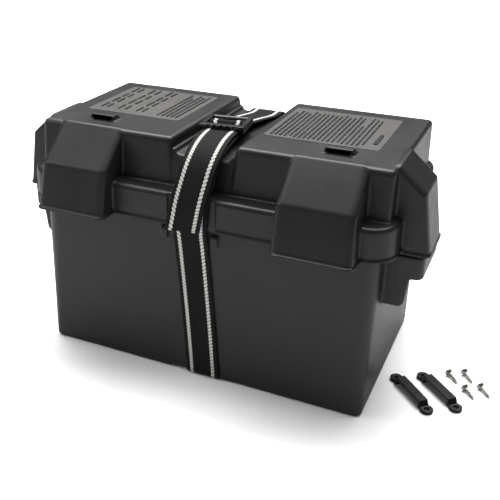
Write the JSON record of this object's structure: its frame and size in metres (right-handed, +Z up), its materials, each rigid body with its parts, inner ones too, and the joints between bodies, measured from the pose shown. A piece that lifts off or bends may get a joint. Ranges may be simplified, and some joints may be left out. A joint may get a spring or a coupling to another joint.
{
  "type": "deep cycle battery",
  "caption": "Strapped snap-top battery box holding a flooded deep cycle battery, with floor footman loops and screws beside it.",
  "frame": {"origin": "centre of the tub's underside, on the floor, where the strap crosses in its channel", "axes": "+X along the box, -Y the front with the cable hoods, +Z up"},
  "size_m": [0.4863, 0.2388, 0.2455],
  "materials": {
    "tub_plastic": "fine moulded texture",
    "lid_plastic": "leather-grain moulded texture",
    "webbing": "ribbed webbing with two pale stripes",
    "buckle_plastic": "satin",
    "loop_plastic": "satin",
    "screw_steel": "nickel plated",
    "case_plastic": "satin polypropylene",
    "cover_plastic": "matt",
    "cap_plastic": "satin",
    "lead": "dull cast lead",
    "stainless": "turned",
    "plate_pos": "lead dioxide paste",
    "plate_neg": "sponge lead paste",
    "separator": "microporous sheet"
  },
  "bodies": {
    "tub": {"box_base": "tub_plastic", "strap_lower": "webbing", "footman_loop_front": "loop_plastic", "footman_loop_rear": "loop_plastic", "mounting_screws": "screw_steel", "battery_case": "case_plastic", "battery_cover": "cover_plastic", "terminal_post_pos": "lead", "terminal_post_neg": "lead", "terminal_stud_pos": "stainless", "terminal_stud_neg": "stainless", "stud_washers": "stainless", "positive_plates": "plate_pos", "negative_plates": "plate_neg", "separators": "separator", "cell_connectors": "lead"},
    "lid": {"lid_shell": "lid_plastic", "strap_front": "webbing", "strap_rear": "webbing", "strap_tail": "webbing"},
    "buckle": {"buckle_frame": "buckle_plastic"},
    "cap_left": {"vent_cap_left": "cap_plastic"},
    "cap_right": {"vent_cap_right": "cap_plastic"},
    "nut_pos": {"wing_nut_pos": "stainless"},
    "nut_neg": {"wing_nut_neg": "stainless"}
  },
  "joints": [
    {"name": "lid_lift", "type": "slide", "parent": "tub", "child": "lid", "axis": [0, 0, 1], "range_m": [0, 0.055]},
    {"name": "buckle_tilt", "type": "hinge", "parent": "lid", "child": "buckle", "pos_m": [-0.00864, 0.00243, 0.238], "axis": [-0.9903, -0.1392, 0], "range_deg": [0, 25]},
    {"name": "cap_left_pull", "type": "slide", "parent": "tub", "child": "cap_left", "axis": [0, 0, 1], "range_m": [0, 0.0072]},
    {"name": "cap_right_pull", "type": "slide", "parent": "tub", "child": "cap_right", "axis": [0, 0, 1], "range_m": [0, 0.0072]},
    {"name": "nut_pos_spin", "type": "hinge", "parent": "tub", "child": "nut_pos", "pos_m": [0.098, -0.062, 0.21], "axis": [0, 0, 1], "continuous": true},
    {"name": "nut_neg_spin", "type": "hinge", "parent": "tub", "child": "nut_neg", "pos_m": [-0.098, -0.062, 0.21], "axis": [0, 0, 1], "continuous": true}
  ]
}
